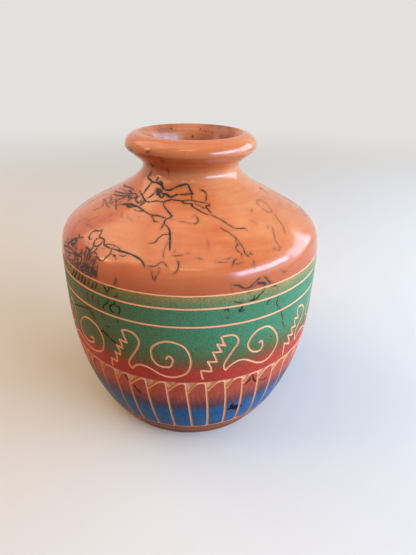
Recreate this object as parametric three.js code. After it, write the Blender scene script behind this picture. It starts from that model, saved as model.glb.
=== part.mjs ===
import * as THREE from 'three';

// Fired clay vase with a round belly, a sloping shoulder, a short neck and a rolled lip.
// Sizes are in millimetres and heights rise from the table at z = 0.
// The wall is turned from two outlines, the outer skin and the hollow inside it.
// It is divided into the parts a potter names, which meet on flat rings where the clay is luted.

// Outer outline: each rise is measured from the station below it.
const baseRadius = 64.2;        // where the foot leaves the table
const footCorner = 2;           // rounding of the foot's lower edge
const footRadius = 72.9;
const footRise = 15.6;
const baseFlare = 0.78;         // how far the wall leans out at the base, per millimetre of height
const footFlare = 0.5;          // the same at the top of the foot
const bellyRadius = 89.9;
const bellyRise = 82.1;
const shoulderRadius = 76;      // middle of the turn from wall to shoulder
const shoulderRise = 55.7;
const shoulderSlope = 33.4;     // degrees above level
const neckRadius = 32;
const neckRise = 30.1;
const lipRadius = 42.9;
const lipRise = 12.7;
const crestRadius = 33.9;       // circle that runs round the top of the lip
const crestRise = 7.8;

// Fullness of each stretch of the outline: handle length as a share of that stretch's rise.
const footFullness = 0.336;
const bellyUnderFullness = 0.337;
const bellyOverFullness = 0.821;
const shoulderUnderFullness = 0.316;
const shoulderOverFullness = 0.447;
const neckUnderFullness = 0.327;
const neckOverFullness = 0.4;
const lipFullness = 0.26;

// Clay.
const wall = 6;
const floorThickness = 6.5;
const floorFillet = 9;          // where the inside of the wall runs into the floor
const footRingHeight = 3.5;
const footRingWidth = 12;
const mouthFullness = 0.55;     // roundness of the lip on its inner side

// Bands of the decoration, each measured from the line below it.
const plainBand = 18.5;
const fluteBand = 51.7;
const scrollBand = 42.4;
const greenBand = 11.9;
const oliveBand = 8;
const ringWidth = 1.5;          // lines scratched round the pot
const ringDepth = 0.5;
const flutes = 45;
const fluteWidth = 1.8;
const fluteDepth = 0.5;
const fluteStart = 3.7;         // degrees from +X to the head of the first flute
const fluteLean = 1.8;          // degrees that a flute drifts round the pot on its way down
const wedgeDrop = 8.8;          // a wedge is scraped beside the head of each flute
const wedgeReach = 5.5;         // degrees from the flute to the wedge's far end
const wedgeDepth = 0.35;

// The neck collar reaches this far below and above the narrowest circle.
const collarBelow = 8;
const collarAbove = 6;

// Facets: sides round the pot, and the largest turn and step along an outline.
const sides = 54;
const largestTurn = 13;
const largestStep = 22;
const outlinePoints = 40;       // points read along each stretch of an outline
const nearSeam = 0.01;          // a point this close to a seam belongs to the seam

const footHeight = footRise;
const bellyHeight = footHeight + bellyRise;
const shoulderHeight = bellyHeight + shoulderRise;
const neckHeight = shoulderHeight + neckRise;
const lipHeight = neckHeight + lipRise;
const totalHeight = lipHeight + crestRise;

const floorTop = footRingHeight + floorThickness;
const fluteFoot = plainBand;
const fluteTop = fluteFoot + fluteBand;
const lowerRing = fluteTop + scrollBand;
const middleRing = lowerRing + greenBand;
const upperRing = middleRing + oliveBand;
const ringHeights = [fluteFoot, fluteTop, lowerRing, middleRing, upperRing];
const wedgeFoot = fluteTop - wedgeDrop;

const collarFoot = neckHeight - collarBelow;
const collarTop = neckHeight + collarAbove;

function point(radius, height) {
  return new THREE.Vector2(radius, height);
}

// A curve between two stations that leaves and arrives along the given directions.
function sweep(start, leave, end, arrive) {
  const first = start.clone().add(leave);
  const last = end.clone().sub(arrive);
  return new THREE.CubicBezierCurve(start, first, last, end);
}

function degrees(angle) {
  return THREE.MathUtils.degToRad(angle);
}

// The outer skin from the table to the top of the lip, as closely spaced points.
function outerOutline() {
  const footEdge = point(baseRadius, footCorner);
  const foot = point(footRadius, footHeight);
  const belly = point(bellyRadius, bellyHeight);
  const shoulder = point(shoulderRadius, shoulderHeight);
  const neck = point(neckRadius, neckHeight);
  const lip = point(lipRadius, lipHeight);

  const spread = point(baseFlare, 1).normalize();
  const flare = point(footFlare, 1).normalize();
  const slope = point(-Math.cos(degrees(shoulderSlope)), Math.sin(degrees(shoulderSlope)));
  const up = point(0, 1);
  const along = (direction, length) => direction.clone().multiplyScalar(length);

  const corner = new THREE.EllipseCurve(
    baseRadius - footCorner, footCorner, footCorner, footCorner, -Math.PI / 2, 0);
  const stretches = [
    corner,
    sweep(footEdge, along(spread, footRise / 3), foot, along(flare, footRise / 3)),
    sweep(foot, along(flare, footFullness * bellyRise),
      belly, along(up, bellyUnderFullness * bellyRise)),
    sweep(belly, along(up, bellyOverFullness * shoulderRise),
      shoulder, along(slope, shoulderUnderFullness * shoulderRise)),
    sweep(shoulder, along(slope, shoulderOverFullness * neckRise),
      neck, along(up, neckUnderFullness * neckRise)),
    sweep(neck, along(up, neckOverFullness * lipRise),
      lip, along(up, lipFullness * lipRise)),
    new THREE.EllipseCurve(
      crestRadius, lipHeight, lipRadius - crestRadius, crestRise, 0, Math.PI / 2),
  ];
  const points = stretches.flatMap((stretch, i) => stretch.getPoints(outlinePoints).slice(i ? 1 : 0));
  return points;
}

// The inside of the wall: the outer skin set in by the wall, then the mouth up to the crest.
function innerOutline(outer) {
  const points = [];
  for (let i = 1; i < outer.length - 1; i += 1) {
    const run = outer[i + 1].clone().sub(outer[i - 1]).normalize();
    const inside = point(outer[i].x - wall * run.y, outer[i].y + wall * run.x);
    const climbs = points.length === 0 || inside.y > points.at(-1).y;
    if (inside.y < neckHeight && climbs) points.push(inside);
  }
  const throat = point(neckRadius - wall, neckHeight);
  const crest = point(crestRadius, totalHeight);
  const mouth = new THREE.CubicBezierCurve(
    throat,
    point(throat.x, neckHeight + (totalHeight - neckHeight) * mouthFullness),
    point(crest.x - (crest.x - throat.x) * mouthFullness, totalHeight),
    crest);
  return points.concat(mouth.getPoints(outlinePoints));
}

// The radius of an outline at one height.
function radiusAt(outline, height) {
  const above = outline.findIndex((p) => p.y >= height);
  if (above <= 0) return outline[0].x;
  const low = outline[above - 1];
  const high = outline[above];
  const share = (height - low.y) / (high.y - low.y);
  return low.x + (high.x - low.x) * share;
}

const outer = outerOutline();
const inner = innerOutline(outer);

// The outer skin with the ring lines scratched into it.
function skinRadius(height) {
  const cuts = ringHeights.map((ring) => 1 - Math.abs(height - ring) / (ringWidth / 2));
  const cut = Math.max(0, ...cuts);
  return radiusAt(outer, height) - ringDepth * cut;
}

// The inside with its rounding into the floor.
function hollowRadius(height) {
  const above = Math.min(height - floorTop, floorFillet);
  const gap = floorFillet - above;
  const rounding = floorFillet - Math.sqrt(floorFillet ** 2 - gap ** 2);
  return radiusAt(inner, height) - rounding;
}

// Heights between two seams where an outline turns enough to need a point.
function heightsBetween(outline, low, high) {
  const heights = [low];
  let last = point(radiusAt(outline, low), low);
  let turned = 0;
  for (let i = 1; i < outline.length - 1; i += 1) {
    const here = outline[i];
    const before = here.clone().sub(outline[i - 1]);
    const after = outline[i + 1].clone().sub(here);
    if (here.y > low && here.y < high) {
      turned += Math.abs(THREE.MathUtils.radToDeg(before.angleTo(after)));
      if (turned > largestTurn || here.distanceTo(last) > largestStep) {
        heights.push(here.y);
        last = here;
        turned = 0;
      }
    }
  }
  heights.push(high);
  return heights;
}

// Points of the outer skin between two seams, with three at each scratched ring and one where
// the wedges start.
function skinPoints(low, high) {
  const reach = ringWidth / 2;
  const clear = heightsBetween(outer, low, high).filter(
    (h) => h === low || h === high || ringHeights.every((ring) => Math.abs(h - ring) > reach * 2));
  const cut = ringHeights.flatMap((ring) => [ring - reach, ring, ring + reach]);
  cut.push(wedgeFoot);
  const inBand = cut.filter((h) => h > low + nearSeam && h < high - nearSeam);
  const heights = clear.concat(inBand).sort((a, b) => a - b);
  return heights.map((h) => point(skinRadius(h), h));
}

// Points of the hollow between two seams, with extra ones where it rounds into the floor.
function hollowPoints(low, high) {
  const rounded = [0.04, 0.18, 0.45].map((share) => floorTop + floorFillet * share);
  const filletTop = floorTop + floorFillet;
  const plain = heightsBetween(inner, low, high).filter((h) => h === low || h > filletTop);
  const extra = rounded.concat(filletTop).filter((h) => h > low && h < high);
  const heights = plain.concat(extra).sort((a, b) => a - b);
  return heights.map((h) => point(hollowRadius(h), h));
}

// Turns a closed outline, given as radius and height, round the upright axis.
function turned(outline, columns = sides) {
  const geometry = new THREE.LatheGeometry(outline, columns);
  geometry.rotateX(Math.PI / 2);
  return geometry;
}

function closed(outline) {
  return outline.concat(outline[0].clone());
}

function footRing() {
  const skin = skinPoints(0, footRingHeight);
  const edge = skin[0].x - footRingWidth;
  return turned(closed([point(edge, 0), ...skin, point(edge, footRingHeight)]));
}

function floorSlab() {
  return turned([
    point(0, footRingHeight),
    ...skinPoints(footRingHeight, floorTop),
    point(0, floorTop),
  ]);
}

function wallSection(low, high, columns) {
  const skin = skinPoints(low, high);
  const hollow = hollowPoints(low, high).reverse();
  return turned(closed(skin.concat(hollow)), columns);
}

// Each flute has a column of points at either edge with one for its bottom between them, and one
// at the far end of the wedge scraped beside its head. The columns lean together as flutes do.
function flutedWall() {
  const edge = THREE.MathUtils.radToDeg(fluteWidth / 2 / bellyRadius);
  const turnOf = [-edge, 0, edge, wedgeReach];
  const bottom = 1;
  const columns = flutes * turnOf.length;
  const geometry = wallSection(floorTop, fluteTop, columns);
  const place = geometry.attributes.position;
  for (let i = 0; i < place.count; i += 1) {
    const height = place.getZ(i);
    const radius = Math.hypot(place.getX(i), place.getY(i));
    const round = Math.atan2(place.getY(i), place.getX(i)) / (Math.PI * 2);
    const column = Math.round((round + 1) * columns) % columns;
    const flute = Math.floor(column / turnOf.length);
    const role = column % turnOf.length;
    const onSkin = radius > (skinRadius(height) + hollowRadius(height)) / 2;
    const inFlutes = onSkin && height > fluteFoot + nearSeam && height < fluteTop - nearSeam;
    const inWedge = inFlutes && height > wedgeFoot + nearSeam;
    let depth = 0;
    if (inFlutes && role === bottom) depth = fluteDepth;
    if (inWedge && role > bottom) depth = wedgeDepth;
    const lean = fluteLean * (fluteTop - height) / fluteBand;
    const turn = degrees(fluteStart + 360 / flutes * flute + turnOf[role] + lean);
    place.setXY(i, (radius - depth) * Math.cos(turn), (radius - depth) * Math.sin(turn));
  }
  geometry.computeVertexNormals();
  return geometry;
}

// The lip closes at its crest, where skin and hollow share one circle.
function rolledRim() {
  const skin = skinPoints(collarTop, totalHeight);
  const hollow = hollowPoints(collarTop, totalHeight).slice(0, -1).reverse();
  return turned(closed(skin.concat(hollow)));
}

const terracotta = { roughness: 0.45, metalness: 0 };
const materials = {
  rawClay: new THREE.MeshStandardMaterial({ color: 0xa4573a, roughness: 0.7, metalness: 0 }),
  burnished: new THREE.MeshStandardMaterial({ color: 0xc8683c, ...terracotta }),
  redBlue: new THREE.MeshStandardMaterial({ color: 0x7d4140, ...terracotta }),
  green: new THREE.MeshStandardMaterial({ color: 0x3f7350, ...terracotta }),
};

const vase = new THREE.Group();

function addPart(name, geometry, material) {
  const mesh = new THREE.Mesh(geometry, material);
  mesh.name = name;
  vase.add(mesh);
}

addPart('foot_ring', footRing(), materials.rawClay);
addPart('floor_slab', floorSlab(), materials.rawClay);
addPart('fluted_wall', flutedWall(), materials.redBlue);
addPart('frieze_wall', wallSection(fluteTop, upperRing), materials.green);
addPart('shoulder_wall', wallSection(upperRing, collarFoot), materials.burnished);
addPart('neck_collar', wallSection(collarFoot, collarTop), materials.burnished);
addPart('rolled_rim', rolledRim(), materials.burnished);

export default vase;
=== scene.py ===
import math
import random

import bmesh
import bpy
import numpy as np
from bpy.props import FloatProperty, FloatVectorProperty, IntProperty, PointerProperty
from mathutils import Matrix, Vector


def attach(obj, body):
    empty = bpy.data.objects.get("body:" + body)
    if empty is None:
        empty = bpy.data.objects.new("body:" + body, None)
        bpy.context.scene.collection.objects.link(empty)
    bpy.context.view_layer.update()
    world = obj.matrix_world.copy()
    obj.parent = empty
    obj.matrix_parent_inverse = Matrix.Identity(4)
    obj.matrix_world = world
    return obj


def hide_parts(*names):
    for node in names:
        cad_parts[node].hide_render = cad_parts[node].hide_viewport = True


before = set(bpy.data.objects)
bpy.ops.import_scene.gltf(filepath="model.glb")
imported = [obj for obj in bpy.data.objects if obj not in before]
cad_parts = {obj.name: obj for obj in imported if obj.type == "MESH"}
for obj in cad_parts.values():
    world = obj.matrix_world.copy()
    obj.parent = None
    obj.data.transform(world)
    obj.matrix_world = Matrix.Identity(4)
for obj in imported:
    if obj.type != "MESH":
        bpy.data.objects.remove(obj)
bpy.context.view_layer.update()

bl_info = {
    "name": "Horsehair pottery vase",
    "version": (1, 0, 0),
    "blender": (4, 5, 0),
    "location": "View3D > Sidebar > Vase",
    "description": "Turned, carved, sprayed and horsehair-smoked clay vase",
    "category": "Add Mesh",
}

MM = 0.001
DEGREE = math.pi / 180
SAME = 0.01                     # mm, within which two points count as one
FAR = 3.0                       # mm, the reach of a stroke's edge distance
SEED = 11
TURN_STEPS = 36                 # steps of a spin, each divided into finer columns after it
CURVE_POINTS = 160              # points along each curve of the outline
CORNER_POINTS = 60              # points round the toe and round the crown of the lip
TOE_POINTS = 10                 # first points of the toe, from which no hollow is offset
SPAN_POINTS = 8                 # points between two that were read from a stroke
GROOVE_EDGE = 0.12              # mm outside a line's edge, where the skin starts to sink
GROOVE_SLOPE = 0.7              # mm from there to the full depth

LAMPS_FACE = (0, 0, 0.12)       # metres, the middle of the vase

# The camera, in metres, mm and degrees, worked out from the ellipses in the photograph.
CAMERA_PLACE = (0, -0.28284, 0.24689)
CAMERA_LENS, CAMERA_SENSOR = 27.05, 36
CAMERA_TURNS = ((-2.614, "Z"), (90 - 27.95, "X"), (1.174, "Z"))

# How far apart the features of each pattern are, in mm.
CLOUDS = 32
TURNING_MARKS = 2.2
FRAYED_EDGE = 1.1
FURROWS = 1.4
DRIFT = 26
BRUSH_MARKS = 1.6
WEAR = 9
SOOT_SPECKS = 2.6
GRIT = 0.9                      # real grains are 0.3 mm, and this is the finest that shows
MIST = 0.8                      # real droplets are 0.2 mm, and this is the finest that shows


def linear(hexcode):
    """A colour written as sRGB hex, in linear light."""
    parts = [int(hexcode[i:i + 2], 16) / 255 for i in (1, 3, 5)]
    return [p / 12.92 if p <= 0.04045 else ((p + 0.055) / 1.055) ** 2.4 for p in parts]


def length(name, metres, description):
    return FloatProperty(name=name, description=description, default=metres,
                         min=0, precision=5, subtype="DISTANCE", unit="LENGTH")


def share(name, value, description):
    return FloatProperty(name=name, description=description, default=value,
                         min=0, max=1.5, subtype="FACTOR")


def angle(name, degrees, description):
    return FloatProperty(name=name, description=description, default=degrees * DEGREE,
                         subtype="ANGLE", unit="ROTATION")


def number(name, whole, description):
    return IntProperty(name=name, description=description, default=whole)


def strength(name, value, description):
    return FloatProperty(name=name, description=description, default=value)


def colour(name, hexcode, description):
    return FloatVectorProperty(name=name, description=description, size=3, min=0, max=1,
                               default=linear(hexcode), subtype="COLOR")


class VaseOutline(bpy.types.PropertyGroup):
    """Stations of the turned outline, from the table to the crest of the lip."""
    foot_corner: length("Foot corner", 0.002, "Rounding of the lower edge")
    base_radius: length("Base radius", 0.0642, "Where the foot leaves the table")
    foot_radius: length("Foot radius", 0.0729, "Top of the foot")
    foot_rise: length("Foot rise", 0.0156, "Height of the foot")
    belly_radius: length("Belly radius", 0.0899, "Widest circle")
    belly_rise: length("Belly rise", 0.0821, "From the foot to the widest circle")
    shoulder_radius: length("Shoulder radius", 0.076, "Middle of the turn to the shoulder")
    shoulder_rise: length("Shoulder rise", 0.0557, "From the widest circle to the turn")
    shoulder_slope: angle("Shoulder slope", 33.4, "Slope of the shoulder above level")
    neck_radius: length("Neck radius", 0.032, "Narrowest circle")
    neck_rise: length("Neck rise", 0.0301, "From the turn to the narrowest circle")
    lip_radius: length("Lip radius", 0.0429, "Widest circle of the rolled lip")
    lip_rise: length("Lip rise", 0.0127, "From the neck to the widest circle of the lip")
    crest_radius: length("Crest radius", 0.0339, "Circle round the top of the lip")
    crest_rise: length("Crest rise", 0.0078, "From the lip's widest circle to its crest")
    base_flare: share("Base flare", 0.78, "Lean of the wall at the base")
    foot_flare: share("Foot flare", 0.5, "Lean of the wall at the top of the foot")
    foot_fullness: share("Foot fullness", 0.336, "Curve leaving the foot")
    belly_under: share("Belly under", 0.337, "Curve arriving at the belly")
    belly_over: share("Belly over", 0.821, "Curve leaving the belly")
    shoulder_under: share("Shoulder under", 0.316, "Curve arriving at the shoulder")
    shoulder_over: share("Shoulder over", 0.447, "Curve leaving the shoulder")
    neck_under: share("Neck under", 0.327, "Curve arriving at the neck")
    neck_over: share("Neck over", 0.4, "Curve leaving the neck")
    lip_fullness: share("Lip fullness", 0.26, "Curve arriving at the lip")
    mouth_fullness: share("Mouth fullness", 0.55, "Roundness inside the lip")
    wall: length("Wall", 0.006, "Thickness of the clay")
    floor_top: length("Floor top", 0.010, "Height of the inside floor")
    floor_fillet: length("Floor fillet", 0.009, "Rounding between floor and wall")
    ring_height: length("Foot ring height", 0.0035, "Depth of the recess under the base")
    ring_width: length("Foot ring width", 0.012, "Width of the ring that rests")


class VaseCarving(bpy.types.PropertyGroup):
    """Bands, lines and marks, with heights above the table."""
    flute_foot: length("Flute foot", 0.0185, "Ring below the flutes")
    flute_top: length("Flute top", 0.0702, "Ring above the flutes")
    lower_ring: length("Lower ring", 0.1126, "Ring above the scrolls")
    middle_ring: length("Middle ring", 0.1245, "Ring between green and olive")
    upper_ring: length("Upper ring", 0.1325, "Ring below the shoulder")
    collar_foot: length("Collar foot", 0.1755, "Where the shoulder meets the neck")
    cut_depth: length("Cut depth", 0.0005, "Depth of the scratched lines")
    ring_line: length("Ring line", 0.0012, "Width of the rings on the painted wall")
    fine_line: length("Fine line", 0.0009, "Width of the first and last ring")
    scroll_line: length("Scroll line", 0.0013, "Width of the scroll lines")
    flute_line: length("Flute line", 0.0016, "Width of the flute lines")
    flutes: number("Flutes", 45, "Flutes round the pot")
    scrolls: number("Scrolls", 10, "Scrolls round the pot")
    flute_lean: angle("Flute lean", 1.8, "How far a flute drifts on its way down")
    wedge_drop: length("Wedge drop", 0.0088, "Height of the scraped wedge")


class VaseColours(bpy.types.PropertyGroup):
    """Clay, slip and smoke colours."""
    clay: colour("Clay", "#C56433", "Burnished shoulder")
    clay_pale: colour("Pale clay", "#D5834F", "Burnished clay where it is thin")
    clay_deep: colour("Deep clay", "#C2501E", "Burnished clay low on the shoulder")
    clay_raw: colour("Raw clay", "#984C2F", "Foot, base and inside")
    grit: colour("Grit", "#8A4326", "Dark grains in the clay")
    scratch: colour("Scratch", "#FFB287", "Clay bared by the carving tool")
    scratch_deep: colour("Deep scratch", "#DF7C3F", "Clay in the deep of a scrape")
    blue: colour("Blue", "#0A6296", "Slip at the foot of the flutes")
    purple: colour("Purple", "#5E3F4E", "Where red mist falls on blue")
    rust: colour("Rust", "#CC5842", "Red slip in the flutes")
    red: colour("Red", "#C64438", "Red slip under the scrolls")
    brown: colour("Brown", "#875A3D", "Where red mist meets green")
    moss: colour("Moss", "#5F734A", "Green slip with a little red mist")
    green: colour("Green", "#4F8B66", "Slip behind the scrolls")
    olive: colour("Olive", "#898E5E", "Green slip thinned to the shoulder")
    tan: colour("Tan", "#AA905C", "Green mist on bare clay")
    # Real smoke in patches, and also painted shade on the left side of the upper green.
    smoke_stain_and_shade: colour("Stain", "#66461C", "Smoke over the green")
    carbon: colour("Carbon", "#120F0F", "Burnt horsehair")
    smoke: colour("Smoke", "#74402A", "Smoke beside the strands")


class VaseStudio(bpy.types.PropertyGroup):
    """Floor, backdrop and lights."""
    floor: colour("Floor", "#D6D4D1", "Plain pale floor")
    bounce: colour("Bounce", "#524D47", "Floor as the lit clay receives it")
    backdrop: colour("Backdrop", "#E3E1DE", "Pale room behind the floor")
    tint: colour("Tint", "#FFE9CE", "Warmth of the light from all round")
    room: strength("Room light", 0.28, "Light from all round")
    cool: strength("Cool panels", 6.2, "Panels that show in the shine on the right")
    daylight: strength("Daylight", 1.6, "Soft light from the right")
    warm: strength("Warm panels", 4.6, "Small panels at the left and in front")
    ceiling: strength("Ceiling", 1.0, "Light from above and from the upper left")


def curve(start, leave, end, arrive):
    """A smooth run between two stations that leaves and arrives along given handles."""
    start, end = np.array(start), np.array(end)
    first, last = start + leave, end - arrive
    u = np.linspace(0, 1, CURVE_POINTS)[:, None]
    return ((1 - u) ** 3 * start + 3 * u * (1 - u) ** 2 * first
            + 3 * u * u * (1 - u) * last + u ** 3 * end)


class Skin:
    """The vase's outline in mm: a run along the outer skin, and the hollow inside it."""

    def __init__(self, o):
        self.o = o
        foot_z = o.foot_rise / MM
        belly_z = foot_z + o.belly_rise / MM
        shoulder_z = belly_z + o.shoulder_rise / MM
        self.neck_z = shoulder_z + o.neck_rise / MM
        lip_z = self.neck_z + o.lip_rise / MM
        self.top = lip_z + o.crest_rise / MM
        corner = o.foot_corner / MM
        base = (o.base_radius / MM, corner)
        foot = (o.foot_radius / MM, foot_z)
        belly = (o.belly_radius / MM, belly_z)
        shoulder = (o.shoulder_radius / MM, shoulder_z)
        neck = (o.neck_radius / MM, self.neck_z)
        lip = (o.lip_radius / MM, lip_z)
        crest = o.crest_radius / MM
        up = np.array((0.0, 1.0))
        spread = np.array((o.base_flare, 1.0)) / math.hypot(o.base_flare, 1)
        flare = np.array((o.foot_flare, 1.0)) / math.hypot(o.foot_flare, 1)
        slope = np.array((-math.cos(o.shoulder_slope), math.sin(o.shoulder_slope)))
        rise = [o.foot_rise / MM, o.belly_rise / MM, o.shoulder_rise / MM,
                o.neck_rise / MM, o.lip_rise / MM]
        quarter = np.linspace(0, math.pi / 2, CORNER_POINTS)
        toe = np.stack([base[0] - corner * (1 - np.sin(quarter)),
                        corner * (1 - np.cos(quarter))], 1)
        crown = np.stack([crest + (lip[0] - crest) * np.cos(quarter),
                          lip_z + (self.top - lip_z) * np.sin(quarter)], 1)
        runs = [
            toe,
            curve(base, spread * rise[0] / 3, foot, flare * rise[0] / 3),
            curve(foot, flare * o.foot_fullness * rise[1], belly, up * o.belly_under * rise[1]),
            curve(belly, up * o.belly_over * rise[2],
                  shoulder, slope * o.shoulder_under * rise[2]),
            curve(shoulder, slope * o.shoulder_over * rise[3],
                  neck, up * o.neck_under * rise[3]),
            curve(neck, up * o.neck_over * rise[4], lip, up * o.lip_fullness * rise[4]),
            crown,
        ]
        line = np.concatenate([runs[0]] + [run[1:] for run in runs[1:]])
        steps = np.hypot(*np.diff(line, axis=0).T)
        self.run = np.concatenate([[0], np.cumsum(steps)])
        self.line = line
        way = np.gradient(line, self.run, axis=0)
        way /= np.hypot(*way.T)[:, None]
        self.normal = np.stack([way[:, 1], -way[:, 0]], 1)
        inset = line - self.normal * (o.wall / MM)
        inset = inset[(inset[:, 1] < self.neck_z) & (np.arange(len(line)) > TOE_POINTS)]
        inset = inset[np.concatenate([[True], np.diff(np.maximum.accumulate(inset[:, 1])) > 0])]
        throat = neck[0] - o.wall / MM
        rest = self.top - self.neck_z
        mouth = curve((throat, self.neck_z), (0, rest * o.mouth_fullness),
                      (crest, self.top), ((crest - throat) * o.mouth_fullness, 0))
        self.hollow = np.concatenate([inset, mouth])

    def run_at(self, height):
        """The run at which the skin is at a height."""
        return np.interp(height, self.line[:, 1], self.run)

    def at(self, run):
        """Points and outward normals of the skin, as radius and height."""
        point, normal = (np.stack([np.interp(run, self.run, side) for side in values.T], 1)
                         for values in (self.line, self.normal))
        return point, normal

    def hollow_at(self, heights):
        """Points of the hollow, with its rounding into the floor."""
        heights = np.asarray(heights, float)
        fillet = self.o.floor_fillet / MM
        gap = fillet - np.clip(heights - self.o.floor_top / MM, 0, fillet)
        radius = np.interp(heights, self.hollow[:, 1], self.hollow[:, 0])
        radius = radius - (fillet - np.sqrt(np.maximum(fillet ** 2 - gap ** 2, 0)))
        return np.stack([radius, heights], 1)


# Strokes are read as "azimuth,height" in degrees and mm. Azimuth 0 faces the camera and
# rises to the right. A stroke is smooth unless it belongs to a stair. A line of a table that
# starts with a space goes on from the one above.

# The four scrolls in front, a line each for a stair, the crook that tops it and a wave that
# ends in a curl, and the azimuths at which the scrolls start.
SCROLLS = """
-70.3,73.5 -70.1,80.5 -67,78.5 -67.5,86.3 -64.9,85 -66.3,92 -63.5,90.8 -64.5,97 -61.8,96 -62.8,103
-62.8,103.5 -61.7,104.8 -59.7,104.6 -57.9,102.2 -57.1,98.8 -58.2,94.2 -59.7,90.8 -61.7,87.1
 -64.3,84.2 -66.2,80.5 -66.5,77
-66.5,75 -63.1,77.5 -60.3,80 -57.4,81.5 -55.1,80.4 -53.1,78.5 -50.5,77.3 -47.9,76.7 -44.7,77.1
 -41.9,78.5 -39.6,80.8 -38.1,83.8 -37.4,87.5 -37.1,91.3 -37.6,94.2 -39,97.9 -41,100.4 -43.6,101.5
 -45.9,101.7 -48.5,100.6 -50.5,98.3 -52.2,95.4 -53.4,92.1 -53.6,88.3 -52.8,85.4 -51.1,82.9
 -48.8,81.9 -46.5,82.5 -44.4,84.2 -43.6,86.3 -44,87.9 -45.9,87
-34.2,72.9 -34,79.4 -31.1,78 -30.8,82.9 -31.4,86.3 -28.9,85 -28.8,88.3 -30.2,92.1 -27.4,90.8
 -27.6,94.2 -28.4,97.1 -25.1,96.3 -25.8,99.2 -26.9,104.2
-26.9,104.2 -25.9,105.2 -23.9,105.4 -21.9,104.6 -20.5,102.3 -19.8,99.6 -20,96.7 -20.9,93.3 -22.2,90
 -23.6,86.3 -24.8,82.9 -25.1,80 -24.5,77.9 -24,76.6
-24,76.6 -23.3,78.3 -21.9,80.6 -19.9,81.9 -17.9,81.5 -15.6,80.2 -13.3,77.9 -11.3,76.3 -9.3,75.4
 -7,75.3 -4.4,76.5 -2.1,78.5 -0.8,81.7 -0.2,85 0,88.3 -0.4,92.1 -1.2,95.8 -2.6,99.2 -4.9,101.3
 -7.8,102.4 -10.4,101.9 -12.7,100 -14.4,97.5 -15.1,94.6 -15.1,91.3 -14.6,87.9 -13.3,85 -11.3,83.3
 -9.3,83.3 -7.8,84 -7.1,86.7 -6.8,89.2 -8,91.9 -9,90.8 -9.5,89
4.6,74 4.1,77.9 3.9,81 7.9,79.7 7.7,82.9 6.3,87.8 9.9,87 9.3,90 8.2,94.5 11.5,94.2 10.6,97.1
 9.7,100 12.9,98.4 12,101 11.2,104.6
11.2,104.6 12,105.1 14.1,105.3 16.1,104.8 17.4,103.1 18,100.8 17.8,97.9 16.6,95.4 15.5,92.5
 14.1,88.8 13.1,85.4 12.8,82.1 13.5,78.8
13.5,78.8 14.6,81.3 16.4,83.5 18.4,85 20.4,85 22.4,83.8 24.7,81.5 27,79 29,77.7 30.7,77.3 33,78.3
 35,80.8 36.3,84.2 37.1,87.5 37.2,90.4 36.6,93.8 35.3,97.9 33.6,101.3 31.6,104 29.6,105.1 28,104.9
 26.4,104.4 25,103.1 23.8,101.3 22.7,98.3 22.2,95.8 22.7,92.9 24.1,90 26.1,88.3 27.9,88.1 28.9,90.2
 29.1,92.9 28.3,95.4 27,94.4
43,73.1 42.5,83.3 46.6,79.8 46,83.3 44.3,88.3 48.2,86 47,89.6 46.2,92.9 49.5,91.5 48.6,94.2
 47.9,98.8 51.1,97.1 50.1,100.4 49.3,104.6
49.3,104.6 50.6,106 52.9,105.2 54.9,103.1 56.4,100 56.4,97.1 55.2,94.2 52.9,90.8 51.5,89.2 50.6,85
 50.9,81.3 51.9,78.1
51.9,78.1 53.8,81.7 56.1,82.9 58.4,82.5 61.3,80.8 64.5,77.9 67.5,76.8 70.5,77.6 73,80 74.8,84.2
 75.4,88.5 75,93 73.6,97.9 71.6,101.6 69,103.9 66,103.6 63.4,101.3 61.6,98 61,94.5 61.6,91
 63.2,88.8 65.2,88.4 66.6,90.4 66.9,93 66,95
"""
SCROLL_STARTS = (-70.3, -34.3, 4.2, 42.6)

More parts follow.
